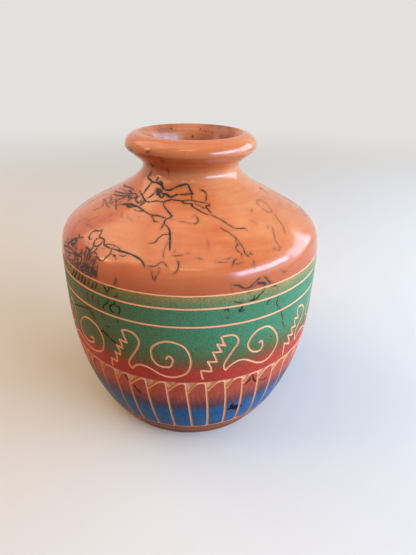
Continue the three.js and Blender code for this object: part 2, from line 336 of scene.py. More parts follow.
# Strands of burnt hair on the shoulder, with heights along the skin above the upper ring.
# Each line gives half the strand's width in mm, how black it burnt, and its path.
STRANDS = """
0.84 1 -55,76.5 -52,75.5 -48,74.8 -44,74 -41,73.6 -38,74 -35,73.6 -32,73.4 -29,72 -26,70.6 -22,70
 -19,70.6 -16,72 -13,73.2 -10,74.2 -6,75 -3,74.8 -1,71.5 0.6,69.4 1,68.4 -2,68.4 -6,67.9 -11,67.4
0.67 1 -36,74.4 -33,75 -30.5,74.2 -28,72 -25,71.4
1.01 1 -11,67.6 -13,67.2 -15,65.8 -18,65.3 -20,66.4 -22,66.9 -25,67 -28,68.4
0.67 1 -34.5,69.8 -32,70 -29.5,69.7 -27.6,68.6 -26.6,70.8
0.62 1 -34,67.4 -31.6,68.3 -29.5,67 -28,67.8 -26,68.4
0.73 1 -31,68.6 -29.4,66.2 -27.4,65.9 -26,64.4 -24,64.3 -23.6,66 -25.4,67.4
1.04 1 -32.5,66.8 -33.6,65 -34.6,63 -36.5,61.5
0.65 0.8 -50,79 -51.5,77.2 -53.5,76.4
0.78 1 -38.6,73.8 -38.2,76.2 -37,78
0.98 0.92 -43.7,73.4 -43.7,70 -43.8,67 -43,65 -42.6,63.6
0.6 0.95 0.8,68.2 0.5,66 0.5,64
0.55 0.95 7.5,72 10,71 12.5,69.6 13.3,68 12.8,66 12,64 11,62
0.35 0.7 -7,77.6 -3,77.2 0.5,76.8
0.7 1 -36,58.6 -33,59 -30,59.8 -27,61 -24,61 -21,60.9 -19,62.2 -17,62.8 -15.5,63.6 -13,63.2 -9,63.1
 -7,62.3 -5,61.5 -2,61 0.6,60.8 0.6,59.4 2,58 5,56 8,53.5 11,52.3
0.5 0.95 -9,63 -5,63.3 0,63.6 4,62.8 8,62 12,61 13.4,60.4
0.55 0.95 0.5,60.8 4,60.3 6,59.4 8,57.8 10,57
0.7 1 13.4,60.6 13.2,59.4 10.6,58.8 10.8,57.4 12,55.4 13.2,53
0.57 0.88 12,52.2 14,50.6 17,48 19,45.6 21,42.6 23,40 26,39 28,38.6 28.8,37.4
0.69 1 -21,60.8 -20,59 -18.5,57 -16,55 -14,53 -12.2,51.5 -12.2,50.3 -13.2,49 -14.6,48 -15.3,46.5
 -14.8,45 -14.2,44 -12.5,42.5 -11,40 -10.5,38 -10.2,36.5 -9.6,34 -9.4,31 -9,28 -8.6,26
0.63 0.95 -14.8,44.5 -15.3,42.2 -15.8,40
0.57 0.95 -10.3,36.6 -12,36.9 -13.5,36.4 -15,34 -15.6,31.6 -16.5,30 -19.2,29.2
0.35 0.75 -10.4,35 -10.5,31 -11,27 -11,23.4 -10.6,20.8
0.69 0.95 -24.5,49.8 -23.5,48.4 -22,46.6 -20.5,45.4 -18.4,45.2
0.69 0.9 -38,53.6 -34,52.6 -31,51.8 -28,50.8 -24.5,49.9 -21,50.1 -17,49.3 -14.4,48.4
0.45 0.85 0.8,51 2,51.8 3.5,50.8 4,48.5 3.6,46.6 2,45.8 0,45.8 -3,46.5 -5,47 -7.5,47
0.34 0.5 -7.5,47.2 -9.5,48 -13,48.5
0.55 0.9 -7,24.6 -6.7,26.6
0.45 0.9 -7.5,23 -5.5,22.9 -3.4,23.5
0.45 0.85 -1.6,24.8 -0.6,24.9
0.4 0.85 1.5,21.8 3,21.5 4.6,20.6
0.45 0.9 -5.5,20.8 -4.7,18.5 -4.6,16 -5.2,14 -6.3,12.6
0.74 1 -33,21.2 -28,21 -24,20.6 -22,19.8 -20,18.8 -18.5,17.4 -17.4,15.4 -16.9,14.4
0.4 0.9 -16.6,15.4 -15,15.4 -13,16 -12,17.5 -11,18.4 -10,18.2 -9,16.5 -8.5,15.2
0.4 0.9 -14.6,14.2 -14,11.5 -13.5,9 -13,8.2 -12.6,9.5 -12.3,11
0.35 0.85 -11.8,15.6 -11.6,13 -11.9,11.6
0.54 0.88 -29,18.6 -27,18.5 -25.5,20
0.61 0.94 -32,18 -30.5,17.6 -29.4,15.8
0.3 0.55 7,33.6 7.5,31 7.2,27
0.35 0.75 9,18.8 11.5,18.3 14.2,17.7
0.3 0.55 9.8,21.2 11.5,20.5
0.34 0.72 12.5,20 14.5,20 16,21
0.46 0.99 15.6,15.6 16.1,18 17,19 17.7,19.8
0.4 0.94 15.8,16.3 18,16.5 20,16.9
0.34 0.88 16.6,18.8 16.7,17
0.52 0.88 15.5,42 16.5,40 18.5,38 19.7,35.5 20.8,33 21.5,30 22,27 22.2,24 22,22 22.8,20 23.2,19
0.46 0.88 20.8,32 20.1,30.5 20.5,28.3 19,26.5 19.3,24.5 20.3,22 19.8,20
0.4 0.66 25.2,22.6 24,21.5 23.8,20.5 24.8,20
0.46 0.83 24.3,17 24.2,15 23.8,12
0.35 0.7 37,4.6 38.4,4.8
0.4 0.7 35.4,19.6 36,20.4 37,19.2
0.5 0.9 24.4,21.6 24.6,20.4 25.2,20.8
0.4 0.8 22.4,2 24,3 25.4,4.6
0.63 0.99 14,5.3 15.5,5 17,4.3 18.5,2.5 20,2 21.5,2.4 23,4 25,6 25.6,6
0.4 0.77 14,3.5 14.7,1.6
1.38 1 24.4,3.8 25.4,3.2 26.4,3 28.3,1.8
0.69 0.99 27,7 28.4,5 29.8,2.4 30.5,1.2
0.46 0.77 35,8.2 36.3,6 37.5,5 38.7,4.8
0.46 0.66 44.5,34 43,31.5 41,28 39.5,25 39.4,22 39.2,19.5 38,18.5 36.8,19.3
0.4 0.61 41,34 43,36.5
0.4 0.6 40.5,49.5 42,50 44,51.3
0.4 0.44 34.5,44 36,42 37,39
0.4 0.6 51.5,51 52.5,53.5 55,55 57.5,54.6 59.5,53 60,50 58.5,46.5 56,43.5 53.5,44 52,46 51.4,49
0.46 0.61 56.5,41 54.5,39 53.5,36.5 51.8,32 50,29 48,26
0.68 0.99 -47,22 -48.5,21.5 -50,23.5 -50.3,26 -49,27.8 -47.3,28.4 -46.2,30 -45.2,28.6 -44.5,26.5
 -43.8,25 -41.5,25.2 -40,24.2 -38.5,22 -36,21.3 -33,21.1
0.61 0.99 -43.8,24.8 -44.6,22.5 -44,20 -42.5,19 -41,20 -40.3,22 -40.8,24
0.54 0.94 -38.5,22 -36,23.2 -33,23.3 -30.5,22.5 -29,21.3
0.54 0.94 -33.5,23 -33.5,20 -33,18 -34,15.5 -34.8,13.2 -36.5,12.8 -38.5,14 -39.5,15.5 -40.7,15.6
 -40.5,18 -40.6,20
0.61 0.99 -33,18 -31,17.6 -29.5,16
0.41 0.77 -39,19 -36.5,20
0.61 0.94 -42.6,19 -43,17.5 -43.6,14.5 -44,12 -43,9
0.54 0.88 -46.6,17 -44,15.8 -43,14 -43.6,11
0.72 0.98 -58,60.5 -57,57.5 -59,54.5 -61,52 -63,49
0.65 0.98 -55.5,61.5 -54.5,59 -53,57.8 -51,57
0.59 0.92 -52,57.5 -50.8,56 -51,54.5
0.65 0.98 -48,61.5 -47,59.5 -45.5,59 -44.5,58
0.59 0.92 -40.5,60.5 -39.8,59 -41,57.5
0.65 0.86 -61.5,51 -59,50.5 -57,49.3 -55.4,48
0.59 0.8 -62,50.8 -62.5,48 -64,46
0.59 0.8 -56,53 -54.5,50.5 -54.3,48
0.65 1 -47,82.5 -45,84.5 -43,87 -41.5,89
0.65 0.98 -54,76.5 -52,78 -50,80.5
0.39 0.8 -25,97 -24.6,94 -25.5,92
0.39 0.8 -25.3,80 -25,83 -24.6,85
0.45 0.86 -38.5,98.6 -37,98.8 -35,99.5 -33,101.5
0.45 0.86 -65,98.4 -61,98.6 -57,97.5 -55.5,99.5
1.22 0.99 -60,13 -58,14.5 -57,16.5 -55.5,16.5 -55,14.5 -56.5,13 -58,13.2
0.6 0.8 -66,9 -62,11 -59,12.5 -56,12 -53.5,12 -53,14 -54,16
0.8 0.85 -66,7 -60,9 -57,10 -54,10 -51,9.5 -48,9.8 -46,9
0.7 0.85 -64,5.5 -58,6.5 -55,8 -52,8.6 -49,8
0.7 0.85 -62,3.2 -57,3 -54,4 -52,5.2 -50,6.8 -48,7.4
0.6 0.85 -62,1.5 -57,1.5 -54,2 -51,3.5 -49,5 -46.5,6.3
0.5 0.85 -56,0.8 -53,1.3 -50,2.4 -48,4
0.5 0.95 -48.5,13.5 -47.5,12 -46.8,10 -46.5,8 -47.4,5.5 -48.6,3.5 -49.6,1
0.5 0.95 -45.5,14 -45,11.5 -44.6,9.5 -45.2,7 -45,4.5 -46,2 -46.6,0.6
0.5 0.95 -43.6,13.5 -43.5,11 -43.8,8 -43,5 -43.8,2.5 -44.6,0.6
0.5 0.95 -42,12 -42.2,9.5 -42.8,7 -42,4.5 -42.6,2 -43.4,0.6
0.45 0.95 -40.6,10.5 -41,8 -41.5,6 -41,3.6 -41.6,1
0.45 0.95 -39.6,11 -39.2,8.5 -39.6,6 -40.4,3.6 -40.2,0.8
0.4 0.9 -38,9.5 -38.2,7 -38.8,4.5 -38,2 -38.6,0.6
0.45 0.95 -36.8,10.6 -37,8 -36.9,5 -37.1,2.4 -36.9,1
0.61 0.99 -47.5,15.5 -46,16.4 -44.5,15.6 -43.5,14 -43.8,12
0.61 0.99 -43.5,19 -43,17 -43.2,15 -42.4,13.5
0.54 0.99 -40.6,19.5 -40.8,17.5 -41.2,16 -42,14.5 -42.8,13
0.45 0.5 -57.5,36 -59.5,34.5 -60,31.5 -60,30.3 -63,30 -66,28.8 -67,25 -65.5,21 -63,18 -60,16.8
0.47 0.55 -60,28 -56,28 -51,28
0.47 0.44 -53,26 -54,24 -55,22.5
0.81 0.88 -57.5,20.4 -55,18.8 -53.6,19.6 -52,20.4
0.78 0.98 -51,65 -48.5,65 -46,63.8 -43,62.8 -40,61.3 -38,60.5 -36,59.5 -34,58.7
0.78 0.92 -82,61 -75,62 -70,63 -66,63.8 -60,64 -57,63.5
0.72 0.92 -64,61.5 -60,62.3 -57,61.8 -54,61.5 -51,62 -48,61.5 -46,60.3 -44,61
0.78 0.92 -80,54 -73,56 -70,56.8 -66,57.8 -62,58.7 -59,60 -56,61.3 -52,61.4
0.65 0.86 -76,52 -72,53.5 -68,54.7 -64,56 -60,57.5 -57,58.5 -53,59 -50,57.5
0.65 0.98 -47.5,60.2 -46,59 -44,57.5 -41,56.8 -40,57.3
1.1 1 -53,51 -50,52.5 -47,53.8 -44,54 -41,53.8 -38,53.8
0.91 0.98 -50,52.4 -48,52.6 -45,51.5 -43,51.5 -41,53
0.52 0.92 -40,51.5 -37,50.8 -34,51 -31,51.3
0.78 0.98 -36,58.5 -37,56.5 -37.6,54.5
0.65 0.86 -66,52.4 -62,51.5 -59,50.3 -56,48.8 -53,47 -50,46.4
0.65 0.75 -78,45 -74,46 -70,46 -66,45.5 -62,45 -58.5,45.3
0.65 0.69 -74,47.4 -72,50 -68,49.5 -66,48 -65,46
0.6 0.65 -74,45 -72,44.5 -68,43.5 -66,42 -67,39 -69,36
0.45 0.57 -45,46.5 -43.5,44 -41,42.5
0.45 0.52 -39,44.5 -36,43.5 -33,42.8
0.46 0.55 -32.2,47 -31,45.5
0.4 0.5 -52,44 -50,42 -51,40
0.45 0.85 -29,0.5 -28.3,3 -27.8,5.4 -27.5,3 -27.6,0.4
0.6 0.9 -73,56.2 -69,56.8 -65,57.8 -61,58.8 -58,60.2 -55,61.4 -51,62.2
0.6 0.85 -70,53.4 -66,54.6 -62,56 -58.5,57.4 -55.5,59.4 -53,60.4
0.7 0.95 -56.5,59.8 -54,57.8 -51,57.6 -48,59.2 -45.8,59.6 -44,57.4 -41.5,56.4
0.5 0.85 -51.6,58 -50.8,55.6 -50.6,53
0.6 0.9 -61.5,51.6 -59,50.6 -56.5,49 -54.6,47.6
0.7 0.9 -51.5,52 -48,52 -45,52.6 -42,53.2 -39,54 -36,53.2 -32,52.2
0.75 1 -34.5,70 -33,68.6 -31.5,69.8 -30,67.6 -28.5,69 -27.5,66.8
0.7 1 -32.6,66.6 -31,67.6 -29.6,65.6 -28,66.6 -26.4,65.4
0.5 0.7 -84,61.8 -78,61.9 -72,62.8
0.45 0.7 -66,60 -62,59.6 -58,58.4
0.5 0.8 -66,50.5 -62,53 -58,56.5 -54.5,60.5 -52.5,62.5
0.45 0.75 -60,50 -57,53.5 -54,57 -51.5,60.5
0.5 0.85 -55,62.6 -52.5,60 -50.4,57.6 -49.4,55
0.6 0.95 -47.5,58 -45.5,60.4 -43.6,62.4
0.55 0.95 -44.4,59.6 -42.4,57 -40,56.4 -38.6,58.4
0.55 0.95 -39.6,55 -38.4,57.6 -36.6,60.6
0.55 0.95 -37.4,54.2 -36,56.6 -35,58.8
0.45 0.75 -77,50.4 -72,51.2 -68,50.2 -63,48.6 -58,48
0.45 0.7 -80,57.6 -74,59 -68,60.4 -62,60.8 -57,62.6
0.6 1 -48.6,14.4 -47.6,12.6 -48.4,10.6 -47.4,8.6
0.65 1 -46.8,16.6 -45.4,14.4 -45.8,12 -44.6,10
0.65 1 -42.4,17.4 -43.2,14.6 -42.2,12.4 -42.8,10
0.5 0.95 -40.8,14.6 -41.6,12 -40.6,10
0.35 0.5 -53,19.4 -50,18.8 -47,19 -45,18.2
0.4 0.8 -61,15.6 -59,14 -57,12.4 -54.6,12.8 -52.6,11.4 -50,10.6 -47,11.4
0.4 0.7 -64,13 -60.5,14.2 -58,16.4 -55,17.4 -53,19
0.4 0.55 -64,27.4 -58,27.9 -52,28 -48,28.4
"""

# Marks on the painted wall, written the same way, with heights above the table.
WALL_MARKS = """
0.5 0.8 -51.6,131.6 -53,129.5 -54.5,127 -55.8,125.6
0.6 0.85 -49.6,131.6 -51.3,128.6 -53,125.6
0.6 0.85 -47.3,131.6 -48.5,128.5 -49.8,125.6
0.55 0.9 -45.4,131.6 -46,129.5 -47,127 -47.4,125.6
0.6 0.9 -43.6,131.6 -44.4,128 -45.6,125.5
0.5 0.9 -41.5,131.4 -42,128.5 -43,125.7
0.5 0.85 -39,131.3 -39.6,128 -40.8,125.6
0.5 0.85 -37,131.4 -37.6,129 -38.8,126
0.45 0.9 -33.6,131.5 -33,129.5 -32.2,128 -32.1,126
0.45 0.9 -31,131.2 -31.2,129.5 -32,128
0.4 0.85 -27.3,128.6 -28,127 -28.8,125.8
0.5 0.9 -28.3,131.8 -29.4,131.4 -30.6,131.6
0.45 0.85 -31.8,123 -32.3,121 -33.2,119.4 -34.6,117.6 -34.8,115
0.45 0.9 -29.5,123.4 -29,121.5 -30.4,120 -31.4,118 -30.8,115.6 -29.4,115.4
0.45 0.85 -29.2,120 -27.3,120.4 -26.9,118.4 -27.3,116 -28,114.6
0.35 0.7 -36.8,122.8 -37.4,119.5 -37,116.8 -38,114.6
0.35 0.6 -43,121.6 -44,119.4 -43.6,116
0.4 0.6 -40,122 -40.6,119 -40,116
0.4 0.85 -36,111.6 -35.8,109.5 -35,107
0.35 0.8 -28.5,111.6 -28,108.2
0.45 0.75 -43,110 -46,109 -48.5,108 -51,106.6 -54,105 -57,103
0.35 0.75 -44,110.4 -42.8,108 -41.5,106 -40,103.6
0.35 0.75 -42.5,110.4 -41.8,108.4 -40.2,106
0.6 0.95 -38.2,97 -36.6,98.2 -34.5,96.6 -32.5,94.6 -30.5,93.2 -29.4,92.8
0.4 0.9 -28.3,91.4 -27.5,89
0.35 0.7 -35,103 -32.8,104 -33.6,102
0.35 0.8 -36.9,97.6 -36.4,99.6
0.6 0.85 20.4,131.9 21.5,131.3
0.4 0.85 26.6,132 28.2,132
0.45 0.85 30.8,132 32.2,131.4 33.2,131.6
0.4 0.85 27.6,131 26.5,129.6 25.3,128.4 24.4,126.8 23,126.3 21,126.4
0.4 0.85 23.3,129.6 23.2,127.6 22.6,126.6
0.4 0.85 15.2,127.6 16.2,127 17.2,126.4 18.6,126.3
0.4 0.85 12,122 12.2,123.2 13,123.1 13.5,121.8
0.45 0.9 18.6,123.8 18.3,122.3 17.4,121.2 18.1,120.5 19.1,120.9 18.7,122
0.4 0.85 13.6,118 13.1,117.1 12.6,117.9
0.45 0.85 31.2,123.6 29.7,122.4 29,120.6
0.35 0.8 33,131.5 33.6,129
0.35 0.75 35,124.5 34,119 36,114.5 38,108 39,102 41,97
0.35 0.75 29.8,99.4 31,98.6
0.4 0.8 32.6,96.4 33.6,95.4
1.9 0.95 18.6,42.8 19,40.6 20,38.6 21.4,37 22.6,36.2
1.4 0.9 16.8,38.8 18.4,38 20.4,38.2 22.4,40.2
0.9 0.85 20.6,41.6 21.2,39.6 22.6,38.2 24.4,37.2 25.4,36
0.6 0.8 18.8,45.4 19.4,43 20.4,41.4
0.7 0.8 21.6,36.4 21.9,34.2 23,33.2
0.7 0.95 -25.1,61.3 -23.6,58 -21.9,54.6
0.55 0.9 -28.3,69 -27.5,66.6 -27.1,64.6
0.5 0.85 -46.6,68.6 -48,65 -49.4,61.5
0.7 0.85 22.6,62 23.6,62.8 24.8,64 25.6,66.4
0.65 0.9 26.2,69 26.7,66.5 27.4,63.6 28.6,61 29.3,60
0.65 0.85 31,60.5 33,58.8 35,58.7 36,59.5
0.45 0.75 36.5,66 36.8,63.4
"""

# Tangles of curling hair: the azimuth and height of each, how far it reaches to both sides
# and up and down, the number of hairs, half their width and their ink.
TANGLES = [
    (-45, 3.4, 7.5, 3.2, 22, 0.34, 0.95), (-57, 6, 8, 6, 12, 0.36, 0.85),
    (-43, 9, 5, 4, 7, 0.3, 0.9), (135, 3.4, 7.5, 3.2, 22, 0.34, 0.95),
    (123, 6, 8, 6, 12, 0.36, 0.85), (137, 9, 5, 4, 7, 0.3, 0.9),
    (250, 30, 24, 22, 26, 0.36, 0.85), (95, 40, 16, 20, 16, 0.36, 0.85),
]

# The flutes in front: the azimuths of each line's head and foot, and how far the wedge beside
# its head reaches, in degrees round the pot and in mm down the wall.
FLUTES = """
-50.6,-51.2,4.5,8 -42.7,-43.2,5,8.8 -33.7,-33.6,5.1,8.8 -26.5,-26.3,7.2,8.6 -18.7,-17.2,7.4,8.8
 -10.2,-8.4,6.7,8 -2.2,0.7,5.6,9.4 5.9,8.7,6.3,7.8 13.8,17.3,5.1,8 21.5,24.4,4.3,7.4 29,33,5.7,7.6
 37.2,40.4,5.3,6.5 45.2,48.6,5.5,7 54.2,57,6.5,7.5
"""


def table(text):
    """Lines of a table; one that starts with a space goes on from the line above."""
    return text.strip().replace("\n ", " ").splitlines()


def read_stroke(text):
    """A stroke's points, a row each."""
    return np.array([[float(n) for n in pair.split(",")] for pair in text.split()])


def read_strands(text):
    """Half width, ink and path of each strand."""
    for line in table(text):
        half, ink, path = line.split(" ", 2)
        yield float(half), float(ink), read_stroke(path)


def smooth(points):
    """A Catmull-Rom curve through a stroke's points."""
    if len(points) < 3:
        return points
    p = np.concatenate([[2 * points[0] - points[1]], points, [2 * points[-1] - points[-2]]])
    u = np.linspace(0, 1, SPAN_POINTS, endpoint=False)[:, None]
    spans = [0.5 * (2 * b + (c - a) * u + (2 * a - 5 * b + 4 * c - d) * u ** 2
                    + (3 * b - a - 3 * c + d) * u ** 3)
             for a, b, c, d in zip(p, p[1:], p[2:], p[3:])]
    return np.concatenate(spans + [points[-1:]])


class Strokes:
    """Dots along strokes, as azimuth in degrees and run along the skin in mm."""
    dot_gap = 0.18              # mm
    tip_width = 0.35            # share of the width that is left at a tapered tip
    knot_gap = 1.5              # mm between the places where a strand swells or thins

    def __init__(self, skin):
        self.skin = skin
        self.dots = []

    def draw(self, points, half, ink=1.0, taper=0.0, swell=None):
        """Adds a stroke of this half width, which tapers over so many mm at both ends."""
        radius = np.interp(points[:, 1], self.skin.run, self.skin.line[:, 0])
        across = np.diff(points[:, 0]) * DEGREE * (radius[1:] + radius[:-1]) / 2
        steps = np.hypot(across, np.diff(points[:, 1]))
        walked = np.concatenate([[0], np.cumsum(steps)])
        at = np.linspace(0, walked[-1], max(2, int(walked[-1] / self.dot_gap)))
        azimuth = np.interp(at, walked, points[:, 0])
        run = np.interp(at, walked, points[:, 1])
        width = np.full(len(at), half)
        if taper:
            from_tip = np.minimum(at, walked[-1] - at) / taper
            width = half * (self.tip_width + (1 - self.tip_width) * np.clip(from_tip, 0, 1))
        if swell:
            knots = np.arange(0, walked[-1] + 2 * self.knot_gap, self.knot_gap)
            width = width * np.interp(at, knots, [swell.uniform(0.62, 1.2) for _ in knots])
        self.dots.append(np.stack([azimuth, run, width, np.full(len(at), ink)], 1))

    def all(self):
        """The dots of every stroke."""
        return np.concatenate(self.dots)


def horsehair(skin, carving):
    """Every strand of burnt hair: those in front, their like on the far side, and tangles."""
    rng = random.Random(SEED)
    hair = Strokes(skin)
    start = skin.run_at(carving.upper_ring / MM)
    low, high = 20, skin.run_at(skin.top) - 6       # mm, the runs between which hair lies
    mm_per_degree, degrees_per_mm = 1.3, 0.75       # round the shoulder
    tremor_across, tremor_up = 0.1, 0.07            # mm
    barb_gap, barb_chance = 13, 0.6                 # in points along a strand
    far_side, far_marks = 176, 190                  # degrees from a strand to its like

    def lay(points, half, ink, barbs=True):
        """One strand with its tremor, and the finer, shorter hairs that split from it."""
        points = smooth(points)
        points[:, 1] = np.clip(points[:, 1], low, high)
        points = points + [[rng.gauss(0, tremor_across) / mm_per_degree,
                            rng.gauss(0, tremor_up)] for _ in points]
        hair.draw(points, half, ink, taper=2.0, swell=rng)
        if not barbs:
            return
        for at in range(rng.randint(3, 10), len(points) - 2, barb_gap):
            if rng.random() < barb_chance:
                heading = rng.uniform(0, math.tau)
                reach = rng.uniform(0.8, 2.2)
                tip = points[at] + [math.cos(heading) * reach * degrees_per_mm,
                                    math.sin(heading) * reach]
                hair.draw(np.array([points[at], tip]), half * 0.5, ink * 0.9, taper=1.5)

    for half, ink, front in read_strands(STRANDS):
        lay(front + [0, start], half * 0.8, ink)
        far = front * [-1, 1] + [far_side + rng.uniform(-3, 3), start + rng.uniform(-4, 4)]
        lay(far, half * 0.8, ink * rng.uniform(0.7, 1))
    for half, ink, front in read_strands(WALL_MARKS):
        front[:, 1] = skin.run_at(front[:, 1])
        lay(front, half * 1.05, ink, barbs=False)
        lay(front * [-1, 1] + [far_marks, 0], half, ink * 0.9, barbs=False)

    def tangle(azimuth, height, wide, tall, count, half, ink):
        """Curling hairs, each a walk whose bend drifts, and which turns back at the edge."""
        for _ in range(count):
            a = azimuth + rng.uniform(-wide, wide)
            h = height + rng.uniform(-tall, tall)
            heading, bend = rng.uniform(0, math.tau), rng.uniform(-0.35, 0.35)
            points = []
            for _ in range(rng.randint(8, 22)):
                points.append((a, start + h))
                a += math.cos(heading) * degrees_per_mm
                h += math.sin(heading)
                bend = 0.85 * bend + rng.gauss(0, 0.16)
                heading += bend
                if abs(a - azimuth) > wide or abs(h - height) > tall:
                    heading += math.pi * 0.6
            lay(np.array(points), half * rng.uniform(0.6, 1.3), ink, barbs=False)

    for patch in TANGLES:
        tangle(*patch)
    return hair.all()


def scroll_strokes(skin, carving):
    """The ten scrolls, four as seen in front and six more cut in the same manner."""
    rng = random.Random(SEED + 1)
    cut = Strokes(skin)
    half = carving.scroll_line / MM / 2
    lines = [read_stroke(line) for line in table(SCROLLS)]
    seen = [lines[i:i + 3] for i in range(0, len(lines), 3)]
    begins = SCROLL_STARTS
    unseen = carving.scrolls - len(seen)
    pitch = (360 + begins[0] - begins[-1]) / (unseen + 1)
    layout = [(scroll, begin, begin, 1.0) for scroll, begin in zip(seen, begins)]
    for i in range(unseen):
        model = 1 + i % 2
        begin = begins[-1] + pitch * (i + 1) + rng.uniform(-0.8, 0.8)
        layout.append((seen[model], begins[model], begin, rng.uniform(0.93, 0.98)))
    for scroll, read_at, begin, narrow in layout:
        for part, points in zip(("stair", "crook", "curl"), scroll):
            rounded = part != "stair"
            points = smooth(points) if rounded else points.copy()
            points[:, 0] = begin + (points[:, 0] - read_at) * narrow
            points[:, 1] = skin.run_at(points[:, 1])
            cut.draw(points, half, taper=1.2 if rounded else 0)
    return cut.all()


class Field:
    """A piece's skin as rows and columns, with distances to the strokes that cross it."""
    near = 2.0                  # mm, as far from a dot as distances are written

    def __init__(self, skin, rows, columns):
        self.skin, self.rows, self.columns = skin, rows, columns
        self.points, self.normals = skin.at(rows)
        self.azimuth = -180 + 360 * np.arange(columns) / columns
        self.shape = (len(rows), columns)

    def stamp(self, dots):
        """Signed distance to the nearest stroke's edge, and that stroke's ink."""
        distance, ink = np.full(self.shape, FAR), np.zeros(self.shape)
        dots = dots[(dots[:, 1] > self.rows[0] - FAR) & (dots[:, 1] < self.rows[-1] + FAR)]
        if not len(dots):
            return distance, ink
        radius = np.interp(dots[:, 1], self.rows, self.points[:, 0])
        column = (dots[:, 0] + 180) * self.columns / 360
        pitch = math.radians(360 / self.columns)
        up, over = (math.ceil(self.near / gap)
                    for gap in (np.diff(self.rows).min(), pitch * radius.min()))
        row = np.clip(np.searchsorted(self.rows, dots[:, 1]), 0, len(self.rows) - 1)
        dr, dc = np.meshgrid(np.arange(-up, up + 1), np.arange(-over, over + 1), indexing="ij")
        r = row[:, None] + dr.ravel()[None]
        c = np.rint(column)[:, None].astype(int) + dc.ravel()[None]
        inside = (r >= 0) & (r < len(self.rows))
        r = np.clip(r, 0, len(self.rows) - 1)
        across = (c - column[:, None]) * pitch * self.points[r, 0]
        edge = np.hypot(across, self.rows[r] - dots[:, 1:2]) - dots[:, 2:3]
        keep = inside & (edge < self.near)
        index, values = (r * self.columns + c % self.columns)[keep], edge[keep]
        inks = np.broadcast_to(dots[:, 3:4], edge.shape)[keep]
        order = np.argsort(-values, kind="stable")      # so that the nearest is written last
        distance.ravel()[index[order]] = values[order]
        ink.ravel()[index[order]] = inks[order]
        return distance, ink

    def rings(self, heights, half):
        """Distance to the edge of the nearest level ring."""
        away = [np.abs(self.rows - self.skin.run_at(h)) - half for h in heights]
        return np.broadcast_to(np.min(away, 0)[:, None], self.shape)


def merge(a, b, round_by):
    """The nearer of two edges, with the corner between them rounded."""
    h = np.clip(0.5 + 0.5 * (b - a) / round_by, 0, 1)
    return b * (1 - h) + a * h - round_by * h * (1 - h)


def flute_edges(field, carving):
    """Distance to the flute lines, which lean, with the depth of the wedges beside their heads."""
    rng = random.Random(SEED + 2)
    top, foot = carving.flute_top / MM, carving.flute_foot / MM
    flutes = [tuple(flute) for flute in read_stroke(FLUTES)]
    last, unseen = flutes[-1][0], carving.flutes - len(flutes)
    pitch = (360 + flutes[0][0] - last) / (unseen + 1)
    for i in range(unseen):
        head = last + pitch * (i + 1) + rng.gauss(0, 0.28)
        lean = math.degrees(carving.flute_lean) + rng.gauss(0, 0.5)
        flutes.append((head, head + lean, rng.uniform(4.6, 7.2),
                       carving.wedge_drop / MM * rng.uniform(0.8, 1.05)))
    height = field.points[:, 1][:, None]
    down = (top - height) / (top - foot)
    arc = DEGREE * field.points[:, 0][:, None]
    edge, scrape = np.full(field.shape, FAR), np.zeros(field.shape)
    overrun = 0.8               # mm that a line runs past its ring
    bluntness = 0.9             # degrees before a wedge starts to taper
    hollowness = 1.45           # how quickly its lower side falls
    facing = 0.72               # share of a height that lies across its slanted side
    deepest = 1.2               # mm, past which a wedge counts as a line's middle
    head_room = 0.5             # mm that a wedge runs into the ring above it
    for i, (head, end, reach, drop) in enumerate(flutes):
        at = head + (end - head) * down + rng.gauss(0, 0.12) * np.sin(math.pi * down)
        turn = (field.azimuth[None] - at + 180) % 360 - 180
        # A line widens on its way down, and wavers as the tool drags.
        half = carving.flute_line / MM / 2 * (0.88 + 0.22 * down + 0.05 * np.sin(9 * down + i))
        line = np.where((height > foot - overrun) & (height < top + overrun),
                        np.abs(turn) * arc - half, FAR)
        falling = np.clip(1 - (turn - bluntness) / (reach - bluntness), 0, 1) ** hollowness
        inside = (turn > 0) & (turn < reach) & (height < top + head_room)
        wedge = np.where(inside, (top - height - drop * falling) * facing, FAR)
        scrape = np.maximum(scrape, -wedge)
        edge = np.minimum(edge, np.minimum(line, np.maximum(wedge, -deepest)))
    return edge, scrape


def turn_section(name, profile, columns, last):
    """Spins a profile into a closed section; rows up to the last are skin, the rest hollow."""
    bm = bmesh.new()
    row = bm.verts.layers.int.new("row")
    ring = []
    for i, (radius, height) in enumerate(profile):
        vert = bm.verts.new((0, radius * MM, height * MM))
        vert[row] = i
        ring.append(vert)
    pairs = list(zip(ring, ring[1:]))
    if max(profile[0][0], profile[-1][0]) > SAME:
        pairs.append((ring[-1], ring[0]))
    edges = [bm.edges.new(pair) for pair in pairs]
    bmesh.ops.spin(bm, geom=ring + edges, cent=(0, 0, 0), axis=(0, 0, 1), dvec=(0, 0, 0),
                   angle=math.tau, steps=TURN_STEPS, use_merge=True,
                   use_normal_flip=False, use_duplicate=False)
    around = [e for e in bm.edges if e.verts[0][row] == e.verts[1][row]]
    bmesh.ops.subdivide_edges(bm, edges=around, cuts=columns // TURN_STEPS - 1,
                              use_grid_fill=True)
    poles = [v for v in bm.verts if math.hypot(v.co.x, v.co.y) < SAME * MM]
    if poles:
        bmesh.ops.remove_doubles(bm, verts=poles, dist=SAME * MM)
    bmesh.ops.recalc_face_normals(bm, faces=bm.faces)
    seams = [0, last] if abs(profile[last + 1][1] - profile[last][1]) < SAME else [0]
    for face in bm.faces:
        face.smooth = True
        face.material_index = 0 if all(v[row] <= last for v in face.verts) else 1
    for edge in bm.edges:
        low, high = (vert[row] for vert in edge.verts)
        if low == high and low in seams:
            edge.smooth = False
    mesh = bpy.data.meshes.new(name)
    bm.to_mesh(mesh)
    bm.free()
    return mesh


